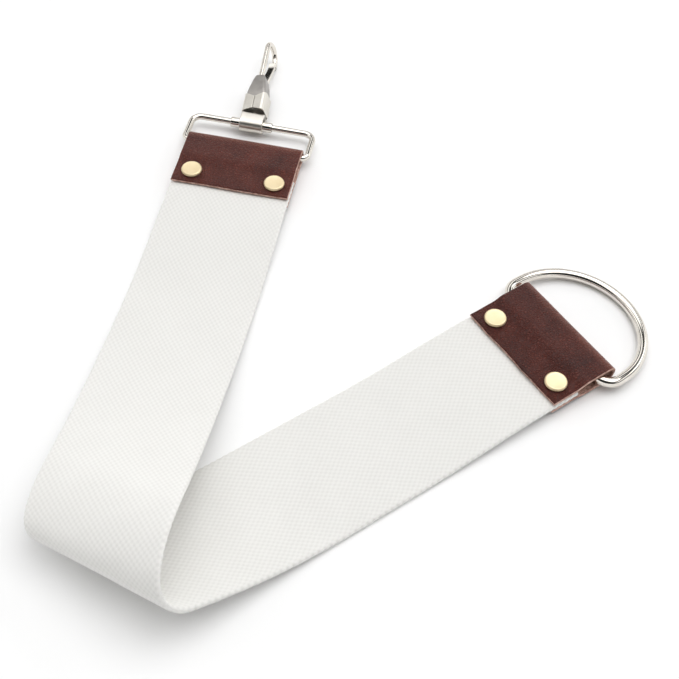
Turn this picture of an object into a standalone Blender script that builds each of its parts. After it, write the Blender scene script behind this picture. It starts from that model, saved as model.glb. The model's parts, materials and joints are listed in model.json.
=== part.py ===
"""Webbing strap with folded leather end tabs, a D-ring and a swivel snap hook.

The strap lies on a table in an open V. Its upper run points along +Y to the
hook, its lower run points to the D-ring, and one conical turn joins them.
Metres, +Z up. The origin is the bottom centre of the whole strap's box.
"""

from math import asin, cos, pi, radians, sin, tan

import bmesh
import bpy
from mathutils import Vector

# Driving dimensions -----------------------------------------------------------

FIT_GAP = 0.0003              # left between pieces that touch on the real strap

# Webbing
STRAP_WIDTH = 0.050
WEBBING_THICKNESS = 0.0024
LOWER_LENGTH = 0.099          # ring-end tab to the place where the turn starts to rise
UPPER_LENGTH = 0.266          # from that place on to the hook-end tab
WEBBING_INSERT = 0.012        # webbing inside each leather tab

# The turn: three arcs that climb and come over, then one that lands on the table
HALF_TURN = radians(22)       # half the angle between the two runs
RISE_RADIUS, RISE_ANGLE = 0.133, radians(24)
TURN_RADIUS, TURN_ANGLE = 0.0123, radians(121)
CROWN_RADIUS, CROWN_ANGLE = 0.0219, radians(67.5)
CONE_REACH = 0.121            # the turn's height falls to nothing this far along a ruling
LEAN = -2.1                   # forward shift of the turn, per metre of height and of ruling

# Leather tabs
TAB_WIDTH = 0.0495
TAB_LENGTH = 0.030
LEATHER_THICKNESS = 0.0013
TAB_EASE = 0.060              # length over which the webbing climbs from table to tab
RING_POCKET = 0.0052          # clear height inside the fold, round the D-ring's bar
LOOP_POCKET = 0.0042          # clear height inside the fold, round the wire loop's bar

# Double-cap rivets
RIVET_INSET = 0.0064
RIVET_SPACING = 0.035
RIVET_CAP_RADIUS = 0.0043
RIVET_CAP_HEIGHT = 0.0013
RIVET_SHANK_RADIUS = 0.0016
RIVET_SEAT = 0.0008           # how deep the back cap takes the shank

# D-ring
RING_WIRE_RADIUS = 0.0020
RING_HALF_WIDTH = 0.0285      # to the wire's centre
RING_DEPTH = 0.0275           # from its widest line to the top of the bow
RING_BAR_SETBACK = 0.0085     # from its widest line back to the straight bar
RING_CORNER_RADIUS = 0.0060
RING_SKEW = radians(3)

# Rectangular wire loop and the sleeve over its joint
LOOP_WIRE_RADIUS = 0.0014
LOOP_HALF_WIDTH = 0.0267
LOOP_DEPTH = 0.0151
LOOP_CORNER_RADIUS = 0.0028
LOOP_JOINT_GAP = 0.0004
SLEEVE_RADIUS = 0.0022
SLEEVE_LENGTH = 0.0180

# Swivel saddle: a plate bent round the sleeve, pierced for the swivel pin
SADDLE_WIDTH = 0.0100
SADDLE_PLATE = 0.0008
SADDLE_HALF_HEIGHT = 0.0029   # to the middle of the plate
SADDLE_BASE = 0.0043          # from the bar's centre to the middle of the base
SADDLE_SHIFT = 0.0009         # the saddle sits a little left of the loop's middle
SADDLE_PITCH = radians(7.3)   # the snap hook's rise, with its collar and nose on the table

# Snap hook, measured along its axis from the saddle's base
SNAP_YAW = radians(4)
SNAP_ROLL = radians(-15)
PIN_RADIUS = 0.0013
PIN_HEAD_RADIUS = 0.0022
COLLAR_START, COLLAR_END = 0.0009, 0.0109
COLLAR_HALF_WIDTH, COLLAR_HALF_HEIGHT = 0.0051, 0.0042
COLLAR_PLATE = 0.0005
COLLAR_NOTCH = 0.0022
BODY_START, BODY_END = 0.0016, 0.0217
BODY_HALF_WIDTH, BODY_HALF_HEIGHT = 0.0043, 0.0034
BODY_TIP_HALF_WIDTH = 0.0024
HOOK_WIRE_RADIUS = 0.0013
HOOK_BACK = 0.0017            # height of the hook's back above the axis
HOOK_BEND_RADIUS = 0.0052
HOOK_BEND_CENTRE = 0.0390
HOOK_NOSE = 0.0034            # straight nose beyond the bend
GATE_PIVOT = Vector((0.0165, 0.0, -0.0019))
GATE_WIDTH = 0.0030
GATE_THICKNESS = 0.0010
GATE_ROOT_RADIUS = 0.0015
GATE_PIN_RADIUS = 0.0006
SPRING_WIRE_RADIUS = 0.0002
SPRING_COIL_RADIUS = 0.00115
SPRING_TURNS = 2.5

# Derived sizes ----------------------------------------------------------------

LEAF_MIDDLE = WEBBING_THICKNESS / 2 + FIT_GAP + LEATHER_THICKNESS / 2
LEAF_OUTSIDE = LEAF_MIDDLE + LEATHER_THICKNESS / 2
TAB_HEIGHT = LEAF_OUTSIDE + FIT_GAP + RIVET_CAP_HEIGHT     # the rivets stand on the table
TAB_LIFT = TAB_HEIGHT - WEBBING_THICKNESS / 2
LANDING_ANGLE = RISE_ANGLE + TURN_ANGLE + CROWN_ANGLE - pi
RING_BAR = TAB_LENGTH - RING_BAR_SETBACK
LOOP_BAR = TAB_LENGTH - LOOP_POCKET / 2 - LEATHER_THICKNESS
RING_TILT = asin((TAB_HEIGHT - RING_WIRE_RADIUS) / (RING_DEPTH + RING_BAR_SETBACK))
HOLE_RADIUS = RIVET_SHANK_RADIUS + FIT_GAP

# Materials --------------------------------------------------------------------

MATERIALS = {
    "webbing": ((0.86, 0.85, 0.82), 0.90, 0.0),
    "leather": ((0.10, 0.035, 0.025), 0.55, 0.0),
    "rivet_brass": ((0.90, 0.72, 0.42), 0.22, 1.0),
    "bright_nickel": ((0.78, 0.75, 0.70), 0.12, 1.0),
    "satin_nickel": ((0.50, 0.48, 0.45), 0.35, 1.0),
    "spring_steel": ((0.45, 0.45, 0.47), 0.30, 1.0),
}


def material(name):
    """Return the named material, made the first time it is asked for."""
    found = bpy.data.materials.get(name)
    if found:
        return found
    colour, roughness, metallic = MATERIALS[name]
    made = bpy.data.materials.new(name)
    made.use_nodes = True
    shader = made.node_tree.nodes["Principled BSDF"]
    shader.inputs["Base Color"].default_value = (*colour, 1.0)
    shader.inputs["Roughness"].default_value = roughness
    shader.inputs["Metallic"].default_value = metallic
    return made


# Scene helpers ----------------------------------------------------------------

def clear_scene():
    for old in list(bpy.data.objects):
        bpy.data.objects.remove(old, do_unlink=True)


def frame(name, parent=None, location=(0, 0, 0), rotation=(0, 0, 0)):
    """An empty that carries pieces, or marks a joint's place and axis."""
    empty = bpy.data.objects.new(name, None)
    bpy.context.collection.objects.link(empty)
    empty.empty_display_size = 0.01
    empty.parent = parent
    empty.location = location
    empty.rotation_euler = rotation
    return empty


def solid(name, shape, finish, parent, smooth_angle=40):
    """Make an object from a bmesh, with its faces turned outward."""
    bmesh.ops.recalc_face_normals(shape, faces=shape.faces)
    mesh = bpy.data.meshes.new(name)
    shape.to_mesh(mesh)
    shape.free()
    mesh.shade_smooth()
    mesh.set_sharp_from_angle(angle=radians(smooth_angle))
    mesh.materials.append(material(finish))
    made = bpy.data.objects.new(name, mesh)
    bpy.context.collection.objects.link(made)
    made.parent = parent
    return made


def cut(target, name, shape, parent):
    """Take a hidden cutter's shape out of the target."""
    cutter = solid(name, shape, "satin_nickel", parent)
    cutter.hide_render = True
    cutter.display_type = "WIRE"
    modifier = target.modifiers.new(name, "BOOLEAN")
    modifier.operation = "DIFFERENCE"
    modifier.solver = "EXACT"
    modifier.object = cutter


# Shape builders: each returns a bmesh ---------------------------------------------

MERGE_DISTANCE = 1e-6      # joins the points that a full turn or circuit lays together


def joined_line(shape, points, closed):
    """Points in a row with an edge between neighbours; returns the points and edges."""
    verts = [shape.verts.new(point) for point in points]
    edges = [shape.edges.new(pair) for pair in zip(verts, verts[1:])]
    if closed:
        edges.append(shape.edges.new((verts[-1], verts[0])))
    return verts, edges


def swept(sections, closed=False):
    """A ring of points extruded from section to section, capped at its ends unless closed."""
    shape = bmesh.new()
    verts, edges = joined_line(shape, sections[0], closed=True)
    if not closed:
        shape.faces.new(verts)
    for section in sections[1:] + (sections[:1] if closed else []):
        made = bmesh.ops.extrude_edge_only(shape, edges=edges)["geom"]
        new_verts = {item for item in made if isinstance(item, bmesh.types.BMVert)}
        moved = []
        for vert, point in zip(verts, section):
            ahead = next(e.other_vert(vert) for e in vert.link_edges if e.other_vert(vert) in new_verts)
            ahead.co = point
            moved.append(ahead)
        verts = moved
        edges = [shape.edges.get(pair) for pair in zip(verts, verts[1:] + verts[:1])]
    if closed:
        bmesh.ops.remove_doubles(shape, verts=shape.verts, dist=MERGE_DISTANCE)
    else:
        shape.faces.new(verts)
    return shape


def spun(outline, closed, segments, axis):
    """A (radius, height) outline spun once about an axis."""
    turn_to_axis = {
        "Z": lambda r, h: Vector((r, 0, h)),
        "X": lambda r, h: Vector((h, r, 0)),
        "Y": lambda r, h: Vector((r, h, 0)),
    }[axis]
    direction = {"X": (1, 0, 0), "Y": (0, 1, 0), "Z": (0, 0, 1)}[axis]
    shape = bmesh.new()
    verts, edges = joined_line(shape, [turn_to_axis(r, h) for r, h in outline], closed)
    bmesh.ops.spin(
        shape, geom=verts + edges, cent=(0, 0, 0), axis=direction, angle=2 * pi, steps=segments
    )
    bmesh.ops.remove_doubles(shape, verts=shape.verts, dist=MERGE_DISTANCE)
    return shape


def turned(profile, segments=16, axis="Z"):
    """A solid of revolution from (radius, height) points that start and end on the axis."""
    return spun(profile, False, segments, axis)


def tube_along_y(inner, outer, length, segments=20):
    """A plain bush with its bore along Y."""
    half = length / 2
    return spun([(inner, -half), (outer, -half), (outer, half), (inner, half)], True, segments, "Y")


def wire(path, radius, normal, sides=10, closed=False, end_taper=1.0):
    """A round wire along a flat path; normal is square to the path's plane."""
    count = len(path)
    sections = []
    for i, point in enumerate(path):
        before = path[i - 1] if closed or i else path[0]
        after = path[(i + 1) % count] if closed or i < count - 1 else path[-1]
        side = (after - before).normalized().cross(normal)
        last = not closed and i == count - 1
        size = radius * (end_taper if last else 1.0)
        angles = [2 * pi * j / sides for j in range(sides)]
        sections.append([point + size * (cos(a) * side + sin(a) * normal) for a in angles])
    return swept(sections, closed)


def bent_sheet(path, thickness, start, end, closed=False, place=None):
    """A sheet bent along a flat (u, v) path and running from start to end across it."""
    place = place or (lambda u, v, t: Vector((u, t, v)))
    count = len(path)
    sections = []
    for i, (u, v) in enumerate(path):
        before = path[i - 1] if closed or i else path[0]
        after = path[(i + 1) % count] if closed or i < count - 1 else path[-1]
        into = Vector((u - before[0], v - before[1]))
        out = Vector((after[0] - u, after[1] - v))
        if into.length == 0 or out.length == 0:
            along, stretch = (into + out).normalized(), 1.0
        else:
            along = (into.normalized() + out.normalized()).normalized()
            stretch = 1.0 / max(0.5, along.dot(out.normalized()))
        offset = Vector((-along.y, along.x)) * thickness / 2 * stretch
        sections.append([
            place(u - offset.x, v - offset.y, start),
            place(u + offset.x, v + offset.y, start),
            place(u + offset.x, v + offset.y, end),
            place(u - offset.x, v - offset.y, end),
        ])
    return swept(sections, closed)


def plate(outline, width):
    """A flat (x, z) outline given a width across Y."""
    return swept([[Vector((x, y, z)) for x, z in outline] for y in (-width / 2, width / 2)])


def block(low, high):
    """A box cutter between two corners."""
    outline = [(low[0], low[2]), (high[0], low[2]), (high[0], high[2]), (low[0], high[2])]
    return swept([[Vector((x, y, z)) for x, z in outline] for y in (low[1], high[1])])


def arc(centre_u, centre_v, radius, start, end, steps):
    """Points along an arc, with both of its ends."""
    angles = [start + (end - start) * i / steps for i in range(steps + 1)]
    return [(centre_u + radius * cos(a), centre_v + radius * sin(a)) for a in angles]


def rounded_rectangle(half_width, low, high, corner, steps=3):
    """Points round a rectangle with rounded corners, starting at its lower right."""
    points = []
    corners = (
        (half_width - corner, low + corner, -pi / 2),
        (half_width - corner, high - corner, 0),
        (corner - half_width, high - corner, pi / 2),
        (corner - half_width, low + corner, pi),
    )
    for u, v, start in corners:
        points += arc(u, v, corner, start, start + pi / 2, steps)
    return points


# The strap's surface ------------------------------------------------------------

def smooth_step(value):
    value = min(1.0, max(0.0, value))
    return value * value * (3 - 2 * value)


def walk_arcs(distance, arcs):
    """Run and height after this distance along arcs that start level and backward."""
    run = height = 0.0
    heading = pi
    for radius, angle, sense in arcs:
        step = min(distance, radius * angle)
        after = heading - sense * step / radius
        run += sense * radius * (sin(heading) - sin(after))
        height += sense * radius * (cos(after) - cos(heading))
        heading = after
        distance -= step
    return run + distance, height


CLIMB = (
    (RISE_RADIUS, RISE_ANGLE, 1),
    (TURN_RADIUS, TURN_ANGLE, 1),
    (CROWN_RADIUS, CROWN_ANGLE, 1),
)
CLIMB_LENGTH = sum(radius * angle for radius, angle, _ in CLIMB)
LANDING_RADIUS = walk_arcs(CLIMB_LENGTH, CLIMB)[1] / (1 - cos(LANDING_ANGLE))
TURN = CLIMB + ((LANDING_RADIUS, LANDING_ANGLE, -1),)


def tab_lift(along):
    """How far the webbing has climbed from the table towards either tab."""
    to_ring = smooth_step((-along - LOWER_LENGTH + TAB_EASE) / TAB_EASE)
    to_hook = smooth_step((along - UPPER_LENGTH + TAB_EASE) / TAB_EASE)
    return TAB_LIFT * (to_ring + to_hook)


def strap_middle(along, across):
    """A point of the webbing's middle surface.

    along runs from the start of the turn towards the hook, across to the left
    of that direction.
    """
    distance = along * cos(HALF_TURN) - across * sin(HALF_TURN)
    ruling = along * sin(HALF_TURN) + across * cos(HALF_TURN)
    run, height = (-distance, 0.0) if distance < 0 else walk_arcs(distance, TURN)
    run += LEAN * ruling * height
    height *= 1 - ruling / CONE_REACH
    height += WEBBING_THICKNESS / 2 + tab_lift(along)
    return Vector((
        run * sin(HALF_TURN) - ruling * cos(HALF_TURN),
        run * cos(HALF_TURN) + ruling * sin(HALF_TURN),
        height,
    ))


def strap_point(along, across, outward):
    """A point at a given height above the webbing's outer face side."""
    step = 0.0002
    lengthwise = strap_middle(along + step, across) - strap_middle(along - step, across)
    crosswise = strap_middle(along, across + step) - strap_middle(along, across - step)
    return strap_middle(along, across) + lengthwise.cross(crosswise).normalized() * outward


HINGE_DISTANCE = RISE_RADIUS * RISE_ANGLE + TURN_RADIUS * (pi / 2 - RISE_ANGLE)
HINGE_ALONG = HINGE_DISTANCE / cos(HALF_TURN)


def webbing_stations(reach):
    """Distances from the hinge line outward, close together where the webbing bends."""
    first_step, growth, longest_step = 0.0024, 1.10, 0.012
    stations, here, step = [], FIT_GAP / 2, first_step
    while here < reach - step / 2:
        stations.append(here)
        here += step
        step = min(step * growth, longest_step)
    stations.append(reach)
    return stations


def webbing_run(direction, reach, columns=6):
    """One half of the webbing: direction -1 runs to the ring, +1 to the hook."""
    slanted_until, square_after = 0.050, 0.140
    sections = []
    for reach_here in webbing_stations(reach):
        slant = 1 - smooth_step((reach_here - slanted_until) / (square_after - slanted_until))
        top, bottom = [], []
        for column in range(columns + 1):
            across = STRAP_WIDTH * (0.5 - column / columns)
            along = HINGE_ALONG + direction * reach_here + slant * across * tan(HALF_TURN)
            top.append(strap_point(along, across, WEBBING_THICKNESS / 2))
            bottom.append(strap_point(along, across, -WEBBING_THICKNESS / 2))
        sections.append(top + bottom[::-1])
    return swept(sections)


# Sub-parts ----------------------------------------------------------------------

def make_webbing(origin):
    """The doubled band, in two halves that meet at the hinge line of the turn."""
    lower_reach = HINGE_ALONG + LOWER_LENGTH + WEBBING_INSERT
    upper_reach = UPPER_LENGTH + WEBBING_INSERT - HINGE_ALONG
    lower = solid("webbing_lower_run", webbing_run(-1, lower_reach), "webbing", origin)
    upper = solid("webbing_upper_run", webbing_run(1, upper_reach), "webbing", origin)
    return lower, upper


def make_tab(name, tab_frame, pocket):
    """Leather folded over the webbing's end, with a pocket for a bar in the fold."""
    pocket_middle = pocket / 2 + LEATHER_THICKNESS / 2
    fold_centre = TAB_LENGTH - pocket_middle - LEATHER_THICKNESS / 2
    ease_start = WEBBING_INSERT - 0.001
    ease_end = ease_start + 0.004
    lower_leaf = [(0, -LEAF_MIDDLE), (ease_start, -LEAF_MIDDLE), (ease_end, -pocket_middle)]
    fold = arc(fold_centre, 0, pocket_middle, -pi / 2, pi / 2, 10)
    upper_leaf = [(x, -z) for x, z in reversed(lower_leaf)]
    path = lower_leaf + fold + upper_leaf
    sheet = bent_sheet(path, LEATHER_THICKNESS, -TAB_WIDTH / 2, TAB_WIDTH / 2)
    return solid(name, sheet, "leather", tab_frame)


def make_rivets(end, tab_frame, pierced):
    """Two double-cap rivets through a tab, and their holes in the pieces they hold."""
    seat = LEAF_OUTSIDE + FIT_GAP
    crown = seat + RIVET_CAP_HEIGHT
    rim = seat + RIVET_CAP_HEIGHT * 0.35
    shoulder = RIVET_CAP_RADIUS * 0.72
    shank_tip = -seat - RIVET_SEAT + FIT_GAP
    front_profile = [
        (0, crown),
        (shoulder * 0.5, crown - RIVET_CAP_HEIGHT * 0.08),
        (shoulder, crown - RIVET_CAP_HEIGHT * 0.30),
        (RIVET_CAP_RADIUS, rim),
        (RIVET_CAP_RADIUS * 0.97, seat),
        (RIVET_SHANK_RADIUS, seat),
        (RIVET_SHANK_RADIUS, shank_tip),
        (0, shank_tip),
    ]
    back_profile = [
        (0, -crown),
        (shoulder * 0.5, -crown + RIVET_CAP_HEIGHT * 0.02),
        (shoulder, -crown + RIVET_CAP_HEIGHT * 0.20),
        (RIVET_CAP_RADIUS, -rim),
        (RIVET_CAP_RADIUS * 0.97, -seat),
        (HOLE_RADIUS, -seat),
        (HOLE_RADIUS, -seat - RIVET_SEAT),
        (0, -seat - RIVET_SEAT),
    ]
    hole_profile = [(0, -crown), (HOLE_RADIUS, -crown), (HOLE_RADIUS, crown), (0, crown)]
    for side, sign in (("left", 1), ("right", -1)):
        place = frame(
            f"{end}_rivet_{side}_frame",
            tab_frame,
            (RIVET_INSET, sign * RIVET_SPACING / 2, 0),
        )
        solid(f"{end}_rivet_{side}_post", turned(front_profile), "rivet_brass", place)
        solid(f"{end}_rivet_{side}_back_cap", turned(back_profile), "rivet_brass", place)
        for piece in pierced:
            cut(piece, f"{piece.name}_{side}_hole", turned(hole_profile), place)


def d_ring_path():
    """Half an ellipse, two rounded corners and the straight bar on the hinge axis."""
    bow_steps, corner_steps, bar_steps = 36, 5, 4
    bow = []
    for i in range(bow_steps + 1):
        angle = pi * i / bow_steps
        bow.append((RING_DEPTH * sin(angle), RING_HALF_WIDTH * cos(angle)))
    corner = RING_CORNER_RADIUS
    corner_x = corner - RING_BAR_SETBACK
    corner_y = RING_HALF_WIDTH - corner
    right = arc(corner_x, -corner_y, corner, -pi / 2, -pi, corner_steps)
    left = [(x, -y) for x, y in reversed(right)]
    bar = []
    for i in range(1, bar_steps):
        bar.append((-RING_BAR_SETBACK, corner_y * (2 * i / bar_steps - 1)))
    flat = bow + right + bar + left
    return [Vector((x + RING_BAR_SETBACK, y, 0)) for x, y in flat]


def make_d_ring(ring_hinge):
    path = wire(d_ring_path(), RING_WIRE_RADIUS, Vector((0, 0, 1)), sides=12, closed=True)
    solid("d_ring", path, "bright_nickel", ring_hinge)


def wire_loop_path():
    """The rectangle of the loop, open at its joint in the middle of the far bar."""
    corner = LOOP_CORNER_RADIUS
    inner_x = LOOP_DEPTH - corner
    inner_y = LOOP_HALF_WIDTH - corner
    steps = 4
    flat = [(LOOP_DEPTH, LOOP_JOINT_GAP / 2)]
    flat += arc(inner_x, inner_y, corner, 0, pi / 2, steps)
    flat += arc(corner, inner_y, corner, pi / 2, pi, steps)
    flat += arc(corner, -inner_y, corner, pi, 3 * pi / 2, steps)
    flat += arc(inner_x, -inner_y, corner, 3 * pi / 2, 2 * pi, steps)
    flat.append((LOOP_DEPTH, -LOOP_JOINT_GAP / 2))
    return [Vector((x, y, 0)) for x, y in flat]


def make_loop(loop_hinge):
    path = wire(wire_loop_path(), LOOP_WIRE_RADIUS, Vector((0, 0, 1)), sides=10)
    solid("wire_loop", path, "bright_nickel", loop_hinge)
    place = frame("loop_sleeve_frame", loop_hinge, (LOOP_DEPTH, SADDLE_SHIFT, 0))
    bore = LOOP_WIRE_RADIUS + FIT_GAP
    solid("loop_sleeve", tube_along_y(bore, SLEEVE_RADIUS, SLEEVE_LENGTH), "bright_nickel", place)


def make_saddle(saddle_hinge):
    """A plate bent round the sleeve, with its pierced base facing the snap hook."""
    height, corner = SADDLE_HALF_HEIGHT, 0.0010
    path = arc(SADDLE_BASE - corner, height - corner, corner, 0, pi / 2, 3)
    path += arc(0, 0, height, pi / 2, 3 * pi / 2, 12)
    path += arc(SADDLE_BASE - corner, corner - height, corner, -pi / 2, 0, 3)
    sheet = bent_sheet(path, SADDLE_PLATE, -SADDLE_WIDTH / 2, SADDLE_WIDTH / 2, closed=True)
    saddle = solid("swivel_saddle", sheet, "satin_nickel", saddle_hinge)
    reach = SADDLE_PLATE * 1.2
    bore = PIN_RADIUS + FIT_GAP
    hole = turned([(0, -reach), (bore, -reach), (bore, reach), (0, reach)], axis="X")
    place = frame("saddle_hole_frame", saddle_hinge, (SADDLE_BASE, 0, 0), (0, 0, SNAP_YAW))
    cut(saddle, "saddle_pin_hole", hole, place)


def make_swivel_pin(snap):
    """The headed pin that turns in the saddle's base and stands up into the snap body."""
    head_low, head_high, tip = -0.00165, -0.00075, 0.0055
    profile = [
        (0, head_low),
        (PIN_HEAD_RADIUS * 0.8, head_low),
        (PIN_HEAD_RADIUS, head_low + 0.0003),
        (PIN_HEAD_RADIUS, head_high),
        (PIN_RADIUS, head_high),
        (PIN_RADIUS, tip),
        (0, tip),
    ]
    solid("swivel_pin", turned(profile, axis="X"), "satin_nickel", snap)


def make_collar(snap):
    """The sheet band wrapped round the body, with its seam on the hook's back side."""
    half_seam = 0.0002
    wall = COLLAR_PLATE / 2
    width, height = COLLAR_HALF_WIDTH - wall, COLLAR_HALF_HEIGHT - wall
    corner, steps = 0.0016, 4
    half = [(half_seam, height)]
    half += arc(width - corner, height - corner, corner, pi / 2, 0, steps)
    half += arc(width - corner, corner - height, corner, 0, -pi / 2, steps)
    path = half + [(-u, v) for u, v in reversed(half)]
    sheet = bent_sheet(
        path, COLLAR_PLATE, COLLAR_START, COLLAR_END, place=lambda u, v, t: Vector((t, u, v))
    )
    collar = solid("snap_collar", sheet, "bright_nickel", snap)
    low, high = COLLAR_HALF_HEIGHT - 0.0015, COLLAR_HALF_HEIGHT + 0.001
    for end, x, tip_x in (
        ("lower", COLLAR_START, COLLAR_START + COLLAR_NOTCH * 0.6),
        ("upper", COLLAR_END, COLLAR_END - COLLAR_NOTCH),
    ):
        outside = x - (tip_x - x) * 0.4
        spread = COLLAR_NOTCH * 1.4
        wedge = [(outside, spread), (tip_x, 0.0), (outside, -spread)]
        levels = [[Vector((px, py, z)) for px, py in wedge] for z in (low, high)]
        cut(collar, f"collar_{end}_notch", swept(levels), snap)


def make_body(snap):
    """The tapered housing, bored for the hook and the swivel pin, slotted for the gate."""
    tip_low, tip_high = -0.0035, 0.0036
    stations = (
        (BODY_START, BODY_HALF_WIDTH, -BODY_HALF_HEIGHT, BODY_HALF_HEIGHT, 0.0010),
        (COLLAR_END + FIT_GAP, BODY_HALF_WIDTH, -BODY_HALF_HEIGHT, BODY_HALF_HEIGHT, 0.0010),
        (COLLAR_END + 0.0020, BODY_HALF_WIDTH * 0.97, -0.0036, 0.0038, 0.0012),
        (COLLAR_END + 0.0060, BODY_HALF_WIDTH * 0.80, -0.0036, 0.0039, 0.0013),
        (BODY_END - 0.0006, BODY_TIP_HALF_WIDTH, tip_low, tip_high, 0.0010),
        (BODY_END, BODY_TIP_HALF_WIDTH - 0.0004, tip_low + 0.0001, tip_high - 0.0001, 0.0008),
    )
    sections = []
    for x, half_width, low, high, corner in stations:
        ring = rounded_rectangle(half_width, low, high, corner)
        sections.append([Vector((x, y, z)) for y, z in ring])
    body = solid("snap_body", swept(sections), "satin_nickel", snap, smooth_angle=30)

    bore = HOOK_WIRE_RADIUS + FIT_GAP
    wire_bore_start = GATE_PIVOT.x - 0.0018
    wire_bore = [(0, wire_bore_start), (bore, wire_bore_start), (bore, BODY_END + 0.002), (0, BODY_END + 0.002)]
    cut(body, "body_wire_bore", turned(wire_bore, axis="X"), frame("wire_bore_frame", snap, (0, 0, HOOK_BACK)))

    pin_bore = PIN_RADIUS + FIT_GAP
    pin_profile = [(0, BODY_START - 0.001), (pin_bore, BODY_START - 0.001), (pin_bore, 0.006), (0, 0.006)]
    cut(body, "body_pin_bore", turned(pin_profile, axis="X"), snap)

    slot_half = GATE_WIDTH / 2 + FIT_GAP
    slot_low = (GATE_PIVOT.x - GATE_ROOT_RADIUS - FIT_GAP, -slot_half, -0.006)
    slot_high = (BODY_END + 0.002, slot_half, HOOK_BACK - bore - 0.0004)
    cut(body, "body_gate_slot", block(slot_low, slot_high), snap)

    pivot = frame("body_pivot_bore_frame", snap, GATE_PIVOT)
    pivot_bore = GATE_PIN_RADIUS + FIT_GAP
    reach = 0.006
    across = [(0, -reach), (pivot_bore, -reach), (pivot_bore, reach), (0, reach)]
    cut(body, "body_pivot_bore", turned(across, segments=12, axis="Y"), pivot)


def make_hook(snap):
    """The bent wire: a straight back, a half-round bend and a short nose."""
    start = GATE_PIVOT.x - 0.0015
    bend_z = HOOK_BACK - HOOK_BEND_RADIUS
    back_steps, bend_steps, nose_steps = 4, 14, 3
    flat = []
    for i in range(back_steps):
        flat.append((start + (HOOK_BEND_CENTRE - start) * i / back_steps, HOOK_BACK))
    flat += arc(HOOK_BEND_CENTRE, bend_z, HOOK_BEND_RADIUS, pi / 2, -pi / 2, bend_steps)
    nose_z = bend_z - HOOK_BEND_RADIUS
    for i in range(1, nose_steps + 1):
        flat.append((HOOK_BEND_CENTRE - HOOK_NOSE * i / nose_steps, nose_z))
    path = [Vector((x, 0, z)) for x, z in flat]
    shape = wire(path, HOOK_WIRE_RADIUS, Vector((0, 1, 0)), sides=10, end_taper=0.7)
    solid("hook", shape, "bright_nickel", snap)


def gate_outline():
    """The gate's side view about its pivot: a round root and a tongue to the nose."""
    nose_inside = HOOK_BACK - 2 * HOOK_BEND_RADIUS + HOOK_WIRE_RADIUS
    tip_x = HOOK_BEND_CENTRE - HOOK_NOSE * 0.45 - GATE_PIVOT.x
    outer_z = nose_inside + FIT_GAP - GATE_PIVOT.z
    inner_z = outer_z + GATE_THICKNESS
    lip_z = outer_z - 0.0004
    shut_x = HOOK_BEND_CENTRE - HOOK_NOSE - FIT_GAP * 2 - GATE_PIVOT.x
    root = GATE_ROOT_RADIUS
    outline = arc(0, 0, root, radians(70), radians(270), 8)
    outline += [
        (0.0040, -0.0018),
        (shut_x - 0.0006, lip_z),
        (shut_x, lip_z),
        (shut_x, outer_z),
        (tip_x, outer_z),
        (tip_x, inner_z),
        (shut_x - 0.0010, inner_z),
    ]
    return outline


def make_gate(gate_hinge):
    gate = solid("gate", plate(gate_outline(), GATE_WIDTH), "bright_nickel", gate_hinge)
    bore = GATE_PIN_RADIUS + FIT_GAP
    reach = GATE_WIDTH
    hole = [(0, -reach), (bore, -reach), (bore, reach), (0, reach)]
    cut(gate, "gate_pin_hole", turned(hole, segments=12, axis="Y"), gate_hinge)
    pocket = block((-0.0022, -0.0009, -0.0030), (0.0022, 0.0009, 0.0030))
    cut(gate, "gate_spring_pocket", pocket, gate_hinge)


def make_gate_pin(snap):
    half_length, chamfer = 0.0033, 0.0002
    profile = [
        (0, -half_length),
        (GATE_PIN_RADIUS - chamfer, -half_length),
        (GATE_PIN_RADIUS, chamfer - half_length),
        (GATE_PIN_RADIUS, half_length - chamfer),
        (GATE_PIN_RADIUS - chamfer, half_length),
        (0, half_length),
    ]
    place = frame("gate_pin_frame", snap, GATE_PIVOT)
    solid("gate_pin", turned(profile, segments=12, axis="Y"), "satin_nickel", place)


def make_gate_spring(snap):
    """A torsion spring round the gate pin, between the gate's two ears."""
    steps_per_turn, half_stack, leg = 12, 0.0006, 0.0005
    count = int(SPRING_TURNS * steps_per_turn)
    path = []
    for i in range(count + 1):
        angle = 2 * pi * i / steps_per_turn
        y = half_stack * (2 * i / count - 1)
        path.append(Vector((SPRING_COIL_RADIUS * cos(angle), y, SPRING_COIL_RADIUS * sin(angle))))
    path.insert(0, path[0] + Vector((0, 0, -leg)))
    path.append(path[-1] + Vector((0, 0, -leg)))
    sections, sides = [], 6
    for i, point in enumerate(path):
        along = (path[min(i + 1, len(path) - 1)] - path[max(i - 1, 0)]).normalized()
        side = along.cross(Vector((0, 1, 0))).normalized()
        other = along.cross(side)
        angles = [2 * pi * j / sides for j in range(sides)]
        ring = [point + SPRING_WIRE_RADIUS * (cos(a) * side + sin(a) * other) for a in angles]
        sections.append(ring)
    place = frame("gate_spring_frame", snap, GATE_PIVOT)
    solid("gate_spring", swept(sections), "spring_steel", place)


# Assembly -----------------------------------------------------------------------

def make_ring_end(origin, webbing):
    """The D-ring's tab, at the end of the lower run."""
    tab_place = strap_middle(-LOWER_LENGTH, 0)
    heading = pi / 2 - 2 * HALF_TURN
    tab_frame = frame("ring_tab_frame", origin, tab_place, (0, 0, heading))
    tab = make_tab("ring_end_tab", tab_frame, RING_POCKET)
    make_rivets("ring_end", tab_frame, (tab, webbing))
    hinge = frame("ring_hinge", tab_frame, (RING_BAR, 0, 0), (0, RING_TILT, RING_SKEW))
    make_d_ring(hinge)


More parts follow.
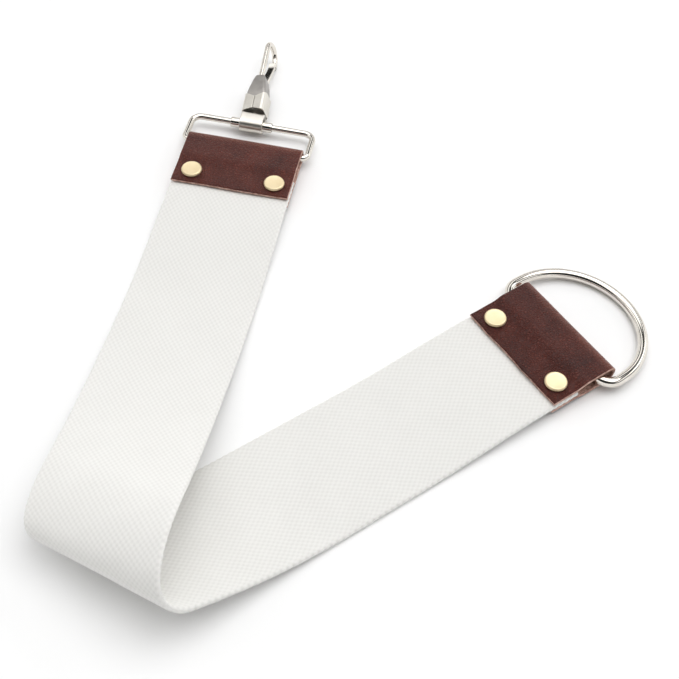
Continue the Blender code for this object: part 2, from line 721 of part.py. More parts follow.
def make_hook_end(origin, webbing):
    """The wire loop's tab, at the end of the upper run, and all that hangs on it."""
    tab_place = strap_middle(UPPER_LENGTH, 0)
    tab_frame = frame("hook_tab_frame", origin, tab_place, (0, 0, pi / 2))
    tab = make_tab("hook_end_tab", tab_frame, LOOP_POCKET)
    make_rivets("hook_end", tab_frame, (tab, webbing))
    loop_hinge = frame("loop_hinge", tab_frame, (LOOP_BAR, 0, 0))
    make_loop(loop_hinge)
    saddle_place = (LOOP_DEPTH, SADDLE_SHIFT, 0)
    saddle_hinge = frame("saddle_hinge", loop_hinge, saddle_place, (0, -SADDLE_PITCH, 0))
    make_saddle(saddle_hinge)
    snap = frame("hook_swivel", saddle_hinge, (SADDLE_BASE, 0, 0), (SNAP_ROLL, 0, SNAP_YAW))
    make_swivel_pin(snap)
    make_collar(snap)
    make_body(snap)
    make_hook(snap)
    make_gate_pin(snap)
    make_gate_spring(snap)
    make_gate(frame("gate_hinge", snap, GATE_PIVOT))


def mark_turn_hinge(origin):
    """The line on the webbing's outer face about which the two runs open."""
    reach = STRAP_WIDTH / 2
    ends = []
    for across in (-reach, reach):
        along = HINGE_ALONG + across * tan(HALF_TURN)
        ends.append(strap_point(along, across, WEBBING_THICKNESS / 2))
    axis = (ends[1] - ends[0]).normalized()
    turned_to_axis = axis.to_track_quat("X", "Z").to_euler()
    frame("webbing_fold", origin, (ends[0] + ends[1]) / 2, turned_to_axis)


def centre_on_origin(origin):
    """Put the bottom centre of everything made so far at the world's origin."""
    bpy.context.view_layer.update()
    depsgraph = bpy.context.evaluated_depsgraph_get()
    corners = []
    for item in bpy.data.objects:
        if item.type == "MESH" and not item.hide_render:
            evaluated = item.evaluated_get(depsgraph)
            corners += [item.matrix_world @ v.co for v in evaluated.data.vertices]
    low = [min(corner[i] for corner in corners) for i in range(3)]
    high = [max(corner[i] for corner in corners) for i in range(3)]
    origin.location = (-(low[0] + high[0]) / 2, -(low[1] + high[1]) / 2, -low[2])
    bpy.context.view_layer.update()


def build():
    clear_scene()
    origin = frame("strap_origin")
    lower, upper = make_webbing(origin)
    make_ring_end(origin, lower)
    make_hook_end(origin, upper)
    mark_turn_hinge(origin)
    centre_on_origin(origin)


build()
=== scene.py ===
"""Looks for the webbing strap: woven band, folded leather tabs, rivets and plated hardware.

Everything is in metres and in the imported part's frame: +Y towards the hook, +Z up.
"""

import json
from math import asin, cos, pi, radians, sin, sqrt, tan

import bmesh
import bpy
import numpy as np
from mathutils import Matrix, Vector, noise


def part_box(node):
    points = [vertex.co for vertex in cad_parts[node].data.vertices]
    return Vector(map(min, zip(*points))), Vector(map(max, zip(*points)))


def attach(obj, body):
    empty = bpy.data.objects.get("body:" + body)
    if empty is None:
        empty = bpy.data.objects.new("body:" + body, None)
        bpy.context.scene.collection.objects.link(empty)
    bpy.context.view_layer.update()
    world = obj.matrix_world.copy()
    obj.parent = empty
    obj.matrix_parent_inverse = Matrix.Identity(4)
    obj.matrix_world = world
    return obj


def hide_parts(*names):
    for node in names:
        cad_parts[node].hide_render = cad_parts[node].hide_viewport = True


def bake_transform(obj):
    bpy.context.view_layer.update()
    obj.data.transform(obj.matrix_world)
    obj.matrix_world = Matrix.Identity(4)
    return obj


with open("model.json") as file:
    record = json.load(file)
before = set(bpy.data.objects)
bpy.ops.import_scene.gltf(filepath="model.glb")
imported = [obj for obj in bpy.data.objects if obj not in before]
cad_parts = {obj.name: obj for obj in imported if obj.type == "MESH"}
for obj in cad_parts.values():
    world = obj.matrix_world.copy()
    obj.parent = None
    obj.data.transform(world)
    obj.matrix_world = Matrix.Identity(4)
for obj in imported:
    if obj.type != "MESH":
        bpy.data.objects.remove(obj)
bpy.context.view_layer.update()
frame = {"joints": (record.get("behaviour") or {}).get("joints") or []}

# Dimensions shared with the CAD part ---------------------------------------------

STRAP_WIDTH = 0.050
WEBBING_THICKNESS = 0.0024
LOWER_LENGTH = 0.099
UPPER_LENGTH = 0.266
WEBBING_INSERT = 0.0115

HALF_TURN = radians(22)
TURN_ARCS = (              # radius, angle, sense: three arcs climb and come over
    (0.133, radians(24), 1),
    (0.0123, radians(121), 1),
    (0.0219, radians(67.5), 1),
)
CONE_REACH = 0.121
LEAN = -2.1
TAB_EASE = 0.060

TAB_WIDTH = 0.0495
TAB_LENGTH = 0.030
LEATHER_THICKNESS = 0.0013
RING_POCKET = 0.0052
LOOP_POCKET = 0.0042
LEAF_GAP = 0.0003

RIVET_INSET = 0.0064
RIVET_SPACING = 0.035
RIVET_CAP_RADIUS = 0.0043
RIVET_CAP_HEIGHT = 0.0013

RING_WIRE_RADIUS = 0.0020
RING_HALF_WIDTH = 0.0285
RING_DEPTH = 0.0275
RING_BAR_SETBACK = 0.0085
RING_CORNER_RADIUS = 0.0060

LOOP_WIRE_RADIUS = 0.0014
LOOP_HALF_WIDTH = 0.0267
LOOP_DEPTH = 0.0151
LOOP_CORNER_RADIUS = 0.0028
LOOP_FAR_CORNER_RADIUS = 0.0042
LOOP_JOINT_GAP = 0.0004
SLEEVE_RADIUS = 0.0022
SLEEVE_LENGTH = 0.0180

SADDLE_WIDTH = 0.0100
SADDLE_PLATE = 0.0008
SADDLE_HALF_HEIGHT = 0.0029
SADDLE_BASE = 0.0043

PIN_RADIUS = 0.0013
PIN_HEAD_RADIUS = 0.0022
COLLAR_START, COLLAR_END = 0.0009, 0.0109
COLLAR_HALF_WIDTH, COLLAR_HALF_HEIGHT = 0.0051, 0.0042
COLLAR_PLATE = 0.0005
BODY_START, BODY_END = 0.0016, 0.0217
BODY_HALF_WIDTH, BODY_HALF_HEIGHT = 0.0043, 0.0034
BODY_TIP_HALF_WIDTH = 0.0024
HOOK_WIRE_RADIUS = 0.0013
HOOK_BACK = 0.0017
HOOK_BEND_RADIUS = 0.0052
HOOK_BEND_CENTRE = 0.0390
HOOK_NOSE = 0.0034
GATE_PIVOT_X = 0.0165
GATE_WIDTH = 0.0030
GATE_THICKNESS = 0.0010
GATE_ROOT_RADIUS = 0.0015
GATE_PIN_RADIUS = 0.0006
SPRING_WIRE_RADIUS = 0.0002
SPRING_COIL_RADIUS = 0.00115
SPRING_TURNS = 2.5

# Dimensions of the detail --------------------------------------------------------

WEAVE_LENGTH = 0.00125        # one float of the weave along the strap
WEAVE_WIDTH = 0.00095         # and across it
SELVEDGE = 0.0012             # rounded edge of the webbing
ROW_STEP = 0.00045            # spacing of mesh rows along the webbing
COLUMNS = 84                  # mesh columns across the webbing
BEFORE_HINGE = 0.0135         # how far the middle length reaches to either side of the hinge
AFTER_HINGE = 0.0125
BLEND_REACH = 0.0055          # half a blending distance between the runs, scaled onto the fold's upward line

LEAF_MIDDLE = WEBBING_THICKNESS / 2 + LEAF_GAP + LEATHER_THICKNESS / 2
LEAF_OUTSIDE = LEAF_MIDDLE + LEATHER_THICKNESS / 2
TAB_HEIGHT = LEAF_OUTSIDE + LEAF_GAP + RIVET_CAP_HEIGHT
TAB_LIFT = TAB_HEIGHT - WEBBING_THICKNESS / 2


# Node-building helpers -------------------------------------------------------------

def node(tree, kind, inputs=None, **settings):
    """Add a shader node; an input may be a value or another node's output."""
    made = tree.nodes.new(kind)
    for key, value in settings.items():
        setattr(made, key, value)
    for key, value in (inputs or {}).items():
        if isinstance(value, bpy.types.NodeSocket):
            tree.links.new(value, made.inputs[key])
        else:
            made.inputs[key].default_value = value
    return made


def calc(tree, operation, first, second=0.0):
    return node(tree, "ShaderNodeMath", {0: first, 1: second}, operation=operation).outputs[0]


def ramp(tree, factor, *stops):
    """A colour ramp from (position, colour) stops."""
    made = node(tree, "ShaderNodeValToRGB", {"Fac": factor})
    elements = made.color_ramp.elements
    while len(elements) < len(stops):
        elements.new(0.5)
    for element, (position, colour) in zip(elements, stops):
        element.position = position
        element.color = (*colour, 1.0)
    return made.outputs["Color"]


def scaled(tree, factor, low, high):
    """Map a 0-1 value to low-high."""
    settings = {"Value": factor, "To Min": low, "To Max": high}
    return node(tree, "ShaderNodeMapRange", settings).outputs["Result"]


def noise_value(tree, vector, scale, detail=3.0, roughness=0.5):
    settings = {"Vector": vector, "Scale": scale, "Detail": detail, "Roughness": roughness}
    return node(tree, "ShaderNodeTexNoise", settings).outputs["Fac"]


def stretched(tree, vector, scale):
    return node(tree, "ShaderNodeMapping", {"Vector": vector, "Scale": scale}).outputs["Vector"]


def new_material(name, **shader_values):
    """A Principled material; returns it with its tree and shader."""
    made = bpy.data.materials.new(name)
    made.use_nodes = True
    tree = made.node_tree
    shader = tree.nodes["Principled BSDF"]
    for key, value in shader_values.items():
        shader.inputs[key.replace("_", " ")].default_value = value
    return made, tree, shader


def bump(tree, shader, height, distance, strength=1.0, normal=None):
    settings = {"Height": height, "Distance": distance, "Strength": strength}
    if normal is not None:
        settings["Normal"] = normal
    made = node(tree, "ShaderNodeBump", settings)
    tree.links.new(made.outputs["Normal"], shader.inputs["Normal"])
    return made.outputs["Normal"]


# Materials -------------------------------------------------------------------------

def make_webbing_material():
    """Plain weave of soft cotton: floats in a checker, fibres along each yarn."""
    made, tree, shader = new_material("webbing_cotton", Sheen_Weight=0.25, Sheen_Roughness=0.5)
    shader.inputs["Specular IOR Level"].default_value = 0.25
    uv = node(tree, "ShaderNodeUVMap", uv_map="strap").outputs["UV"]
    wander = noise_value(tree, uv, 260.0, 2.0)
    spot = node(tree, "ShaderNodeSeparateXYZ", {"Vector": uv})
    drift = scaled(tree, wander, -0.9, 0.9)
    along = calc(tree, "MULTIPLY_ADD", spot.outputs["X"], pi / WEAVE_LENGTH)
    tree.links.new(drift, along.node.inputs[2])
    across = calc(tree, "MULTIPLY", spot.outputs["Y"], pi / WEAVE_WIDTH)
    checker = calc(tree, "MULTIPLY", calc(tree, "SINE", along), calc(tree, "SINE", across))
    floats = scaled(tree, calc(tree, "ADD", calc(tree, "MULTIPLY", checker, 0.5), 0.5), 0.0, 1.0)
    fibres = noise_value(tree, stretched(tree, uv, (1500.0, 9000.0, 1.0)), 1.0, 2.0)
    fluff = noise_value(tree, uv, 1900.0, 4.0, 0.7)
    uneven = scaled(tree, noise_value(tree, uv, 60.0, 3.0), 0.38, 0.62)
    height = calc(tree, "ADD", floats, calc(tree, "MULTIPLY", fibres, 0.35))
    height = calc(tree, "ADD", height, calc(tree, "MULTIPLY", fluff, 0.45))
    # Painted shade: the sunken half of the weave's checker is coloured darker; the slow uneven noise is
    # random tone of the cotton.
    shade = calc(tree, "ADD", calc(tree, "MULTIPLY", floats, 0.35), calc(tree, "MULTIPLY", uneven, 0.65))
    colour = ramp(
        tree,
        shade,
        (0.15, (0.71, 0.702, 0.674)),
        (0.55, (0.82, 0.812, 0.784)),
        (0.9, (0.86, 0.852, 0.826)),
    )
    tree.links.new(colour, shader.inputs["Base Color"])
    tree.links.new(scaled(tree, fluff, 0.82, 0.97), shader.inputs["Roughness"])
    bump(tree, shader, height, 0.00012, 0.65)
    return made


def make_leather_material(name, dark, mid, light):
    """Smooth-tanned leather with a fine wrinkle grain, with painted shade in its creases and a painted sheen
    that makes it paler along the fold.
    """
    made, tree, shader = new_material(name)
    shader.inputs["Specular IOR Level"].default_value = 0.28
    uv = node(tree, "ShaderNodeUVMap", uv_map="leaf").outputs["UV"]
    bend = noise_value(tree, uv, 170.0, 2.0)
    bent = node(tree, "ShaderNodeVectorMath", {0: uv, 1: (0.0, 0.0, 0.0)}, operation="ADD")
    tree.links.new(calc(tree, "MULTIPLY", bend, 0.0012), bent.inputs[1])
    grain = node(
        tree,
        "ShaderNodeTexVoronoi",
        {"Vector": stretched(tree, bent.outputs["Vector"], (820.0, 1250.0, 1.0)), "Scale": 1.0},
        feature="DISTANCE_TO_EDGE",
    ).outputs["Distance"]
    creases = calc(tree, "MINIMUM", calc(tree, "MULTIPLY", grain, 3.2), 1.0)
    wrinkle = noise_value(tree, stretched(tree, bent.outputs["Vector"], (260.0, 620.0, 1.0)), 1.0, 4.0, 0.6)
    pores = noise_value(tree, uv, 3200.0, 3.0, 0.6)
    mottle = noise_value(tree, uv, 75.0, 4.0, 0.55)
    # Painted shade: the creases between grain cells are coloured darker; mottle and pores vary the tone at
    # random.
    tone = calc(tree, "ADD", calc(tree, "MULTIPLY", mottle, 0.65), calc(tree, "MULTIPLY", creases, 0.30))
    tone = calc(tree, "ADD", tone, calc(tree, "MULTIPLY", pores, 0.15))
    # Painted sheen: the outside near the fold is mixed towards a paler brown.
    fold_sheen_mask = node(tree, "ShaderNodeAttribute", attribute_name="fold_sheen_mask").outputs["Fac"]
    painted_fold_sheen = calc(tree, "MULTIPLY", fold_sheen_mask, scaled(tree, mottle, 0.3, 0.9))
    base = ramp(tree, tone, (0.30, dark), (0.55, mid), (0.82, light))
    pale = node(tree, "ShaderNodeMix", {"Factor": painted_fold_sheen, "A": base}, data_type="RGBA")
    pale.inputs["B"].default_value = (0.235, 0.085, 0.060, 1.0)
    tree.links.new(pale.outputs["Result"], shader.inputs["Base Color"])
    rough = calc(tree, "SUBTRACT", scaled(tree, mottle, 0.32, 0.44), calc(tree, "MULTIPLY", creases, 0.06))
    tree.links.new(rough, shader.inputs["Roughness"])
    relief = calc(tree, "ADD", calc(tree, "MULTIPLY", creases, 0.6), calc(tree, "MULTIPLY", wrinkle, 1.9))
    relief = calc(tree, "ADD", relief, calc(tree, "MULTIPLY", pores, 0.25))
    bump(tree, shader, relief, 0.00045, 1.0)
    return made


def make_raw_edge_material():
    """The cut edge and flesh side of the leather: pale, fibrous, dyed in places."""
    made, tree, shader = new_material("leather_raw_edge", Roughness=0.85)
    place = node(tree, "ShaderNodeTexCoord").outputs["Object"]
    patches = noise_value(tree, place, 420.0, 4.0, 0.65)
    fibre = noise_value(tree, stretched(tree, place, (900.0, 900.0, 5200.0)), 1.0, 3.0)
    tone = calc(tree, "ADD", calc(tree, "MULTIPLY", patches, 0.7), calc(tree, "MULTIPLY", fibre, 0.3))
    stops = ((0.34, (0.16, 0.07, 0.05)), (0.50, (0.52, 0.32, 0.26)), (0.68, (0.72, 0.52, 0.45)))
    tree.links.new(ramp(tree, tone, *stops), shader.inputs["Base Color"])
    bump(tree, shader, fibre, 0.00010, 0.8)
    return made


def make_metal_material(name, colour, shade, roughness, spread, grain, grain_depth):
    """Plated metal: slightly uneven colour, polish marks and a fine surface grain."""
    made, tree, shader = new_material(name, Metallic=1.0)
    place = node(tree, "ShaderNodeTexCoord").outputs["Object"]
    clouds = noise_value(tree, place, 160.0, 4.0, 0.6)
    marks = noise_value(tree, stretched(tree, place, (400.0, 2600.0, 2600.0)), 1.0, 3.0, 0.6)
    specks = noise_value(tree, place, grain, 3.0, 0.6)
    tree.links.new(ramp(tree, clouds, (0.35, shade), (0.60, colour)), shader.inputs["Base Color"])
    wear = calc(tree, "ADD", calc(tree, "MULTIPLY", marks, 0.5), calc(tree, "MULTIPLY", specks, 0.5))
    rough = scaled(tree, wear, roughness, roughness + spread)
    tree.links.new(rough, shader.inputs["Roughness"])
    bump(tree, shader, wear, grain_depth, 0.6)
    return made


WEBBING = make_webbing_material()
HOOK_LEATHER = make_leather_material(
    "leather_hook_end", (0.044, 0.009, 0.006), (0.098, 0.020, 0.012), (0.160, 0.038, 0.025)
)
RING_LEATHER = make_leather_material(
    "leather_ring_end", (0.036, 0.007, 0.005), (0.080, 0.016, 0.010), (0.126, 0.029, 0.019)
)
RAW_EDGE = make_raw_edge_material()
BRASS = make_metal_material(
    "rivet_pale_brass", (0.86, 0.73, 0.49), (0.82, 0.68, 0.43), 0.42, 0.10, 1400.0, 0.00002
)
NICKEL = make_metal_material(
    "polished_nickel", (0.80, 0.76, 0.70), (0.72, 0.68, 0.62), 0.05, 0.10, 2500.0, 0.000006
)
SATIN = make_metal_material(
    "satin_nickel", (0.74, 0.71, 0.65), (0.66, 0.63, 0.57), 0.24, 0.16, 3200.0, 0.00002
)
# Painted dark reflection: the housing's plated metal is coloured dark grey.
SATIN_PAINTED_DARK = make_metal_material(
    "nickel_painted_dark", (0.38, 0.36, 0.34), (0.28, 0.265, 0.25), 0.26, 0.22, 2600.0, 0.00005
)
SPRING_STEEL = make_metal_material(
    "spring_wire", (0.52, 0.52, 0.54), (0.44, 0.44, 0.46), 0.20, 0.15, 3000.0, 0.00001
)


# Mesh helpers ------------------------------------------------------------------------

def add_mesh(name, vertices, faces, *materials, sharp=50):
    """Make an object from points and faces, with its faces turned outward."""
    mesh = bpy.data.meshes.new(name)
    mesh.from_pydata([tuple(v) for v in vertices], [], faces)
    work = bmesh.new()
    work.from_mesh(mesh)
    bmesh.ops.recalc_face_normals(work, faces=work.faces)
    work.to_mesh(mesh)
    work.free()
    mesh.shade_smooth()
    mesh.set_sharp_from_angle(angle=radians(sharp))
    for material in materials:
        mesh.materials.append(material)
    made = bpy.data.objects.new(name, mesh)
    bpy.context.collection.objects.link(made)
    return made


def quads(rows, columns, wrap_rows=False, wrap_columns=False, start=0):
    """Quads of a grid of rows x columns points."""
    faces = []
    for i in range(rows if wrap_rows else rows - 1):
        for j in range(columns if wrap_columns else columns - 1):
            near, far = start + i * columns, start + (i + 1) % rows * columns
            k = (j + 1) % columns
            faces.append((near + j, near + k, far + k, far + j))
    return faces


def capped(sections):
    """A solid through equal rings of points, closed by a face at each end."""
    rows, columns = len(sections), len(sections[0])
    vertices = [point for section in sections for point in section]
    faces = quads(rows, columns, wrap_columns=True)
    faces += [tuple(range(columns)), tuple(range((rows - 1) * columns, rows * columns))]
    return vertices, faces


def rounded(piece, width, segments=3, angle=35):
    """Round the piece's edges with a bevel."""
    bevel = piece.modifiers.new("rounded_edges", "BEVEL")
    bevel.width = width
    bevel.segments = segments
    bevel.limit_method = "ANGLE"
    bevel.angle_limit = radians(angle)
    return piece


def cut(piece, cutter):
    """Take the cutter's shape out of the piece, then drop the cutter."""
    modifier = piece.modifiers.new("cut", "BOOLEAN")
    modifier.operation = "DIFFERENCE"
    modifier.solver = "EXACT"
    modifier.object = cutter
    bpy.context.view_layer.update()
    result = piece.evaluated_get(bpy.context.evaluated_depsgraph_get())
    mesh = bpy.data.meshes.new_from_object(result)
    piece.modifiers.clear()
    piece.data = mesh
    bpy.data.objects.remove(cutter, do_unlink=True)


def place(piece, matrix, body, *nodes, slot):
    """Put the piece in its frame, on its body, in its CAD nodes' stead."""
    piece.matrix_world = matrix
    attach(piece, body)
    if nodes:
        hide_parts(*nodes)


def turned(profile, segments=48):
    """Points and faces of a solid of revolution about Z from (radius, height) points."""
    vertices, faces = [], []
    for radius, height in profile[1:-1]:
        for i in range(segments):
            angle = 2 * pi * i / segments
            vertices.append((radius * cos(angle), radius * sin(angle), height))
    rings = len(profile) - 2
    faces += quads(rings, segments, wrap_columns=True)
    for pole, ring in ((profile[0], 0), (profile[-1], rings - 1)):
        centre = len(vertices)
        vertices.append((0, 0, pole[1]))
        start = ring * segments
        faces += [(centre, start + i, start + (i + 1) % segments) for i in range(segments)]
    return vertices, faces


def along_axis(shape, axis):
    """Turn a shape made about Z so that it lies about X or Y."""
    vertices, faces = shape
    if axis == "X":
        return [(z, x, y) for x, y, z in vertices], faces
    return [(x, z, -y) for x, y, z in vertices], faces


def wire(path, radius, normal, sides=24, closed=False, round_end=False):
    """A round wire along a flat path; normal is square to the path's plane."""
    count = len(path)
    sections = []
    for i, point in enumerate(path):
        before = path[i - 1] if closed or i else path[0]
        after = path[(i + 1) % count] if closed or i < count - 1 else path[-1]
        side = (after - before).normalized().cross(normal)
        sections.append((point, side, radius))
    if round_end:
        tip, side, _ = sections.pop()
        ahead = (path[-1] - path[-2]).normalized()
        for step in range(7):
            angle = radians(88) * step / 6
            shift = ahead * radius * (sin(angle) - 1)
            sections.append((tip + shift, side, radius * cos(angle)))
    rings = []
    for point, side, size in sections:
        angles = [2 * pi * j / sides for j in range(sides)]
        rings.append([point + size * (cos(a) * side + sin(a) * normal) for a in angles])
    if closed:
        vertices = [point for ring in rings for point in ring]
        return vertices, quads(count, sides, wrap_rows=True, wrap_columns=True)
    return capped(rings)


def arc(centre_u, centre_v, radius, start, end, steps):
    angles = [start + (end - start) * i / steps for i in range(steps + 1)]
    return [(centre_u + radius * cos(a), centre_v + radius * sin(a)) for a in angles]


def rounded_rectangle(half_width, low, high, corner, steps=6):
    points = []
    corners = (
        (half_width - corner, low + corner, -pi / 2),
        (half_width - corner, high - corner, 0),
        (corner - half_width, high - corner, pi / 2),
        (corner - half_width, low + corner, pi),
    )
    for u, v, start in corners:
        points += arc(u, v, corner, start, start + pi / 2, steps)
    return points


def bent_sheet(path, thickness, start, end, closed=False, to_point=None):
    """A sheet bent along a flat (u, v) path, running from start to end across it."""
    to_point = to_point or (lambda u, v, t: Vector((u, t, v)))
    count = len(path)
    sections = []
    for i, (u, v) in enumerate(path):
        before = path[i - 1] if closed or i else path[0]
        after = path[(i + 1) % count] if closed or i < count - 1 else path[-1]
        along = Vector((after[0] - before[0], after[1] - before[1])).normalized()
        offset = Vector((-along.y, along.x)) * thickness / 2
        sections.append([
            to_point(u - offset.x, v - offset.y, start),
            to_point(u + offset.x, v + offset.y, start),
            to_point(u + offset.x, v + offset.y, end),
            to_point(u - offset.x, v - offset.y, end),
        ])
    if not closed:
        return capped(sections)
    vertices = [point for section in sections for point in section]
    return vertices, quads(count, 4, wrap_rows=True, wrap_columns=True)


# Frames of the moving pieces -----------------------------------------------------------

JOINTS = {joint["name"]: joint for joint in frame["joints"]}


def joint_frame(name, forward):
    """A frame on a joint: Y against the hinge's axis, X forward, Z up."""
    across = -Vector(JOINTS[name]["axis"]).normalized()
    forward = Vector(forward)
    forward = (forward - across * forward.dot(across)).normalized()
    up = forward.cross(across)
    turn = Matrix((forward, across, up)).transposed().to_4x4()
    return Matrix.Translation(JOINTS[name]["pos_m"]) @ turn


def snap_frame():
    """The snap hook's frame: X along the swivel, Y across the hook's plane."""
    snap = joint_frame("gate_hinge", JOINTS["hook_swivel"]["axis"])
    snap.translation = Vector(JOINTS["hook_swivel"]["pos_m"])
    return snap


def tab_frame(tab, heading):
    """A tab's frame, from its box: the origin is on the leather's edge, X to the fold."""
    low, high = (Vector(corner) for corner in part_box(tab))
    centre = (low + high) / 2
    ahead = Vector((cos(heading), sin(heading), 0))
    start = centre - ahead * TAB_LENGTH / 2
    return Matrix.Translation(start) @ Matrix.Rotation(heading, 4, "Z")


HOOK_TAB = tab_frame("hook_end_tab", pi / 2)
RING_TAB = tab_frame("ring_end_tab", pi / 2 - 2 * HALF_TURN)
SWIVEL_AXIS = JOINTS["hook_swivel"]["axis"]
LOOP = joint_frame("loop_hinge", (0, 1, 0))
SADDLE = joint_frame("saddle_hinge", SWIVEL_AXIS)
SNAP = snap_frame()
GATE = joint_frame("gate_hinge", SWIVEL_AXIS)
RING_TILT = asin((TAB_HEIGHT - RING_WIRE_RADIUS) / (RING_DEPTH + RING_BAR_SETBACK))
RING = joint_frame(
    "ring_hinge",
    Vector((cos(pi / 2 - 2 * HALF_TURN), sin(pi / 2 - 2 * HALF_TURN), -tan(RING_TILT))),
)


# Webbing -------------------------------------------------------------------------------

def walk_arcs(distance, arcs):
    """Run and height after each distance along arcs that start level and backward."""
    run = -np.minimum(distance, 0.0)
    left = np.maximum(distance, 0.0)
    height = np.zeros_like(left)
    heading = pi
    for radius, angle, sense in arcs:
        step = np.minimum(left, radius * angle)
        after = heading - sense * step / radius
        run += sense * radius * (sin(heading) - np.sin(after))
        height += sense * radius * (np.cos(after) - cos(heading))
        heading -= sense * angle
        left -= step
    return run + left, height


CLIMB_LENGTH = sum(radius * angle for radius, angle, _ in TURN_ARCS)
LANDING_ANGLE = sum(angle for _, angle, _ in TURN_ARCS) - pi
CROWN_END = walk_arcs(np.array([CLIMB_LENGTH]), TURN_ARCS)[1][0]
LANDING_RADIUS = CROWN_END / (1 - cos(LANDING_ANGLE))
TURN = TURN_ARCS + ((LANDING_RADIUS, LANDING_ANGLE, -1),)


def smooth_step(value):
    value = np.clip(value, 0.0, 1.0)
    return value * value * (3 - 2 * value)


def strap_middle(along, across):
    """Points of the webbing's middle surface, before it is moved into place."""
    distance = along * cos(HALF_TURN) - across * sin(HALF_TURN)
    ruling = along * sin(HALF_TURN) + across * cos(HALF_TURN)
    run, height = walk_arcs(distance, TURN)
    run = run + LEAN * ruling * height
    to_ring = smooth_step((-along - LOWER_LENGTH + TAB_EASE) / TAB_EASE)
    to_hook = smooth_step((along - UPPER_LENGTH + TAB_EASE) / TAB_EASE)
    height = height * (1 - ruling / CONE_REACH) + WEBBING_THICKNESS / 2
    height = height + TAB_LIFT * (to_ring + to_hook)
    x = run * sin(HALF_TURN) - ruling * cos(HALF_TURN)
    y = run * cos(HALF_TURN) + ruling * sin(HALF_TURN)
    return np.stack([x, y, height], axis=-1)


STRAP_PLACE = np.array(HOOK_TAB.translation) - strap_middle(
    np.array([UPPER_LENGTH]), np.array([0.0])
)[0]


def strap_points(along, across, outward):
    """Points at a given height above the webbing's middle surface."""
    step = 0.0003
    middle = strap_middle(along, across)
    lengthwise = strap_middle(along + step, across) - strap_middle(along - step, across)
    crosswise = strap_middle(along, across + step) - strap_middle(along, across - step)
    normal = np.cross(lengthwise, crosswise)
    normal /= np.linalg.norm(normal, axis=-1, keepdims=True)
    return middle + normal * outward[..., None] + STRAP_PLACE


def webbing_section():
    """Across and half-thickness of the section's outline, going once round it."""
    flat = STRAP_WIDTH / 2 - SELVEDGE
    edge_steps = 6
    top = []
    for i in range(edge_steps):
        angle = pi / 2 * i / edge_steps
        top.append((flat + SELVEDGE * cos(angle), sin(angle)))
    top += [(flat * (1 - 2 * i / COLUMNS), 1.0) for i in range(COLUMNS + 1)]
    for i in range(1, edge_steps + 1):
        angle = pi / 2 * (1 + i / edge_steps)
        top.append((SELVEDGE * cos(angle) - flat, sin(angle)))
    bottom = [(across, -rise) for across, rise in reversed(top[1:-1])]
    return np.array(top + bottom)


def uneven(along, across):
    """Slow changes of thickness in the woven band, always inward."""
    ripple = np.sin(along * 210 + 3 * np.sin(across * 90)) * np.sin(across * 160 + along * 35)
    creep = np.sin(along * 530 + across * 240)
    return -0.00006 * (1 + ripple) - 0.00002 * (1 + creep)


def make_webbing_piece(name, start, end):
    """A closed length of webbing between two lines across it."""
    outline = webbing_section()
    across, rise = outline[:, 0], outline[:, 1]
    first, last = start(across), end(across)
    rows = int(np.max(last - first) / ROW_STEP) + 1
    share = np.linspace(0.0, 1.0, rows + 1)[:, None]
    along = first * (1 - share) + last * share
    width = np.broadcast_to(across, along.shape)
    edge = smooth_step((np.abs(width) - STRAP_WIDTH / 2 + 2 * SELVEDGE) / (2 * SELVEDGE))
    scallop = 0.00010 * np.cos(2 * pi * along / (2 * WEAVE_LENGTH)) - 0.00012
    width = width + np.sign(width) * edge * scallop
    half = WEBBING_THICKNESS / 2 + uneven(along, width)
    points = strap_points(along, width, rise * half).reshape(-1, 3)
    columns = len(outline)
    faces = quads(rows + 1, columns, wrap_columns=True)
    faces += [tuple(range(columns)), tuple(range(rows * columns, (rows + 1) * columns))]
    piece = add_mesh(name, points, faces, WEBBING, sharp=80)
    layer = piece.data.uv_layers.new(name="strap")
    around = width + np.where(rise < 0, 2 * STRAP_WIDTH, 0.0)
    values = np.stack([along.ravel(), around.ravel()], axis=-1)
    corners = np.empty(len(piece.data.loops), dtype=np.int32)
    piece.data.loops.foreach_get("vertex_index", corners)
    layer.data.foreach_set("uv", values[corners].astype(np.float32).ravel())
    return piece


def ruling_line(distance):
    """The line across the strap that lies on the ruling at this distance round the turn."""
    return lambda across: distance / cos(HALF_TURN) + across * tan(HALF_TURN)


def make_webbing():
    """The band in three lengths: two ride on their runs and one lies between them."""
    hinge_distance = TURN_ARCS[0][0] * TURN_ARCS[0][1] + TURN_ARCS[1][0] * (pi / 2 - TURN_ARCS[0][1])
    before, after = ruling_line(hinge_distance - BEFORE_HINGE), ruling_line(hinge_distance + AFTER_HINGE)
    ring_end = lambda across: 0 * across - LOWER_LENGTH - WEBBING_INSERT
    hook_end = lambda across: 0 * across + UPPER_LENGTH + WEBBING_INSERT
    lower = make_webbing_piece("webbing_lower", ring_end, before)
    turn = make_webbing_piece("webbing_turn", before, after)
    upper = make_webbing_piece("webbing_upper", after, hook_end)
    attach(lower, "lower_run")
    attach(upper, "upper_run")
    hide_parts("webbing_lower_run")
    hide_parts("webbing_upper_run")
    axis = Vector(JOINTS["webbing_fold"]["axis"])
    level = Vector((sin(HALF_TURN), cos(HALF_TURN), 0))
    upward = axis.cross(level).normalized()
    upward *= BLEND_REACH if upward.z > 0 else -BLEND_REACH
    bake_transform(turn)


# Leather tabs ----------------------------------------------------------------------------

def tab_path(pocket):
    """The folded leather's mid-line in the tab's own (x, z), from back leaf to front leaf."""
    middle = pocket / 2 + LEATHER_THICKNESS / 2
    centre = TAB_LENGTH - middle - LEATHER_THICKNESS / 2
    ease_start = WEBBING_INSERT - 0.0005
    ease = 0.0050
    leaf = []
    steps = 46
    for i in range(steps + 1):
        x = centre * i / steps
        leaf.append((x, LEAF_MIDDLE + (middle - LEAF_MIDDLE) * float(smooth_step((x - ease_start) / ease))))
    fold = arc(centre, 0, middle, -pi / 2, pi / 2, 22)[1:-1]
    return [(x, -z) for x, z in leaf] + fold + leaf[::-1]


